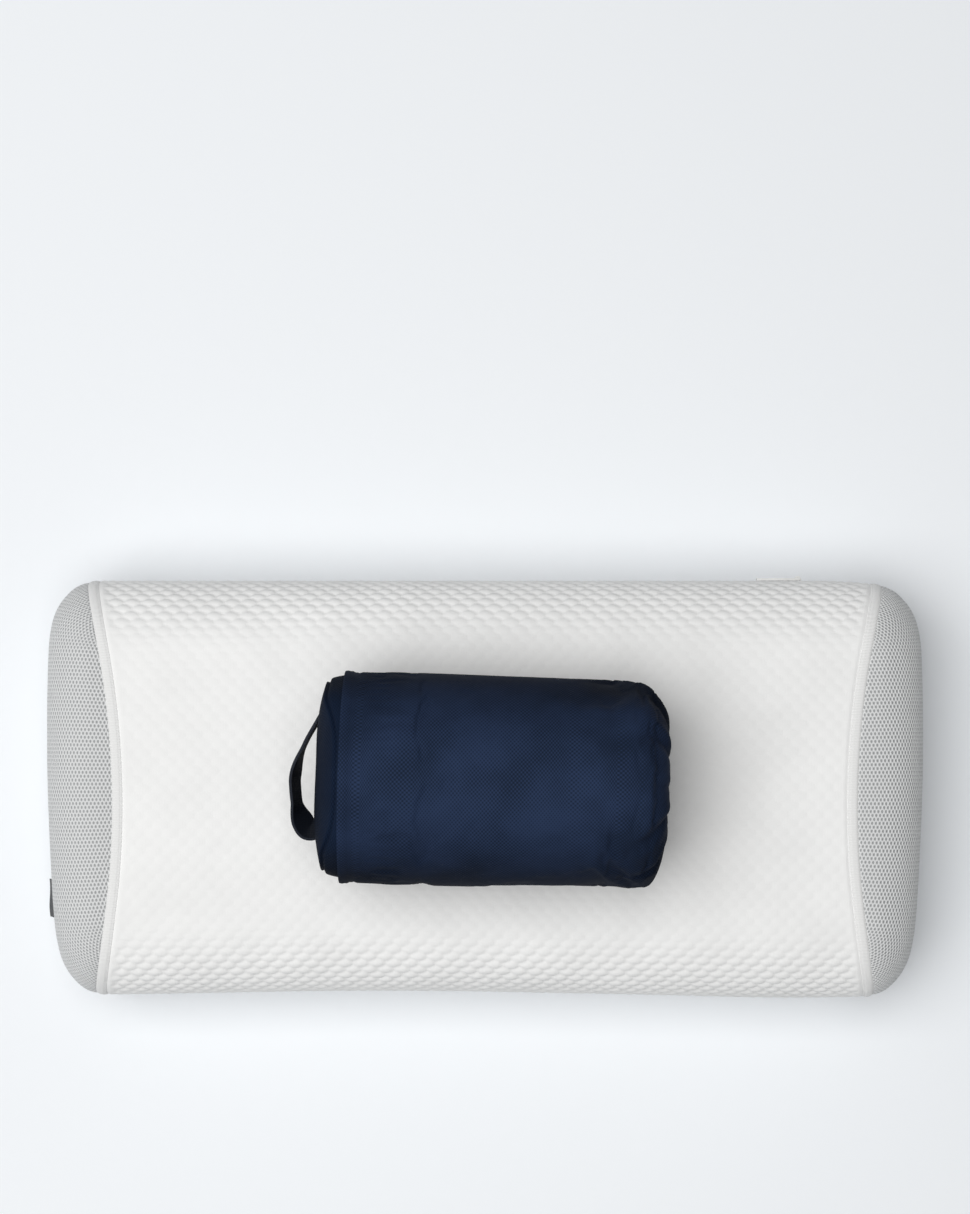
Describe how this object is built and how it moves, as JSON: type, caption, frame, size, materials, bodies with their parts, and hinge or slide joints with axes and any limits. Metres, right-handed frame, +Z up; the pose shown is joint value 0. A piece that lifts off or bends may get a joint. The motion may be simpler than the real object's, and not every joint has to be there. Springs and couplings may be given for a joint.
{
  "type": "travel pillow with carry bag",
  "caption": "Rectangular foam travel pillow in a zipped quilted cover with mesh ends, and a round drawstring carry bag with a webbing handle lying on it.",
  "frame": {"origin": "under the middle of the pillow, on the surface that it lies on", "axes": "+X along the pillow towards the bag's gathered mouth, +Y towards the zipped back edge, +Z up"},
  "size_m": [0.5014, 0.2438, 0.2091],
  "materials": {
    "quilted_knit": "matte",
    "air_mesh": "matte",
    "seam_knit": "matte",
    "liner_knit": "matte",
    "foam": "matte",
    "label_cloth": "matte",
    "zip_tape": "matte",
    "zip_coil": "gloss",
    "zip_metal": "polished",
    "bag_nylon": "satin",
    "webbing": "matte",
    "cord": "matte",
    "eyelet_metal": "satin",
    "lock_plastic": "matte",
    "spring_steel": "satin"
  },
  "bodies": {
    "pillow": {"foam_core": "foam", "inner_liner": "liner_knit", "quilted_wrap": "quilted_knit", "mesh_panel_left": "air_mesh", "mesh_panel_right": "air_mesh", "seam_binding_left": "seam_knit", "seam_binding_right": "seam_knit", "side_label": "label_cloth", "zip_tape_upper": "zip_tape", "zip_tape_lower": "zip_tape", "zip_chain_upper": "zip_coil", "zip_chain_lower": "zip_coil", "zip_bottom_stop": "zip_metal", "zip_top_stops": "zip_metal"},
    "zip_slider": {"zip_slider": "zip_metal"},
    "zip_pull": {"zip_pull": "zip_metal"},
    "bag": {"bag_end_panel": "bag_nylon", "bag_rim_binding": "bag_nylon", "bag_tube": "bag_nylon", "mouth_hem": "bag_nylon", "cord_eyelets": "eyelet_metal", "drawstring": "cord", "cord_lock_body": "lock_plastic", "cord_lock_spring": "spring_steel", "handle_anchors": "webbing", "rolled_foam_core": "foam", "rolled_pillow_cover": "liner_knit"},
    "bag_handle": {"handle_strap": "webbing"},
    "cord_lock_button": {"cord_lock_button": "lock_plastic"}
  },
  "joints": [
    {"name": "zip_travel", "type": "slide", "parent": "pillow", "child": "zip_slider", "axis": [-1, 0, 0], "range_m": [0, 0.365]},
    {"name": "pull_swing", "type": "hinge", "parent": "zip_slider", "child": "zip_pull", "pos_m": [0.1827, 0.1217, 0.041], "axis": [0, 0, -1], "range_deg": [0, 180]},
    {"name": "bag_lift", "type": "slide", "parent": "pillow", "child": "bag", "axis": [0, 0, 1], "range_m": [0, 0.25]},
    {"name": "handle_swing", "type": "hinge", "parent": "bag", "child": "bag_handle", "pos_m": [-0.09249, 0.00646, 0.1523], "axis": [0.0305, 0.9995, 0], "range_deg": [-20, 20]},
    {"name": "button_press", "type": "slide", "parent": "bag", "child": "cord_lock_button", "axis": [-0.0305, -0.9995, 0], "range_m": [0, 0.0035], "stiffness_N_per_m": 250, "springref_m": -0.002, "deforming": ["cord_lock_spring"]}
  ]
}
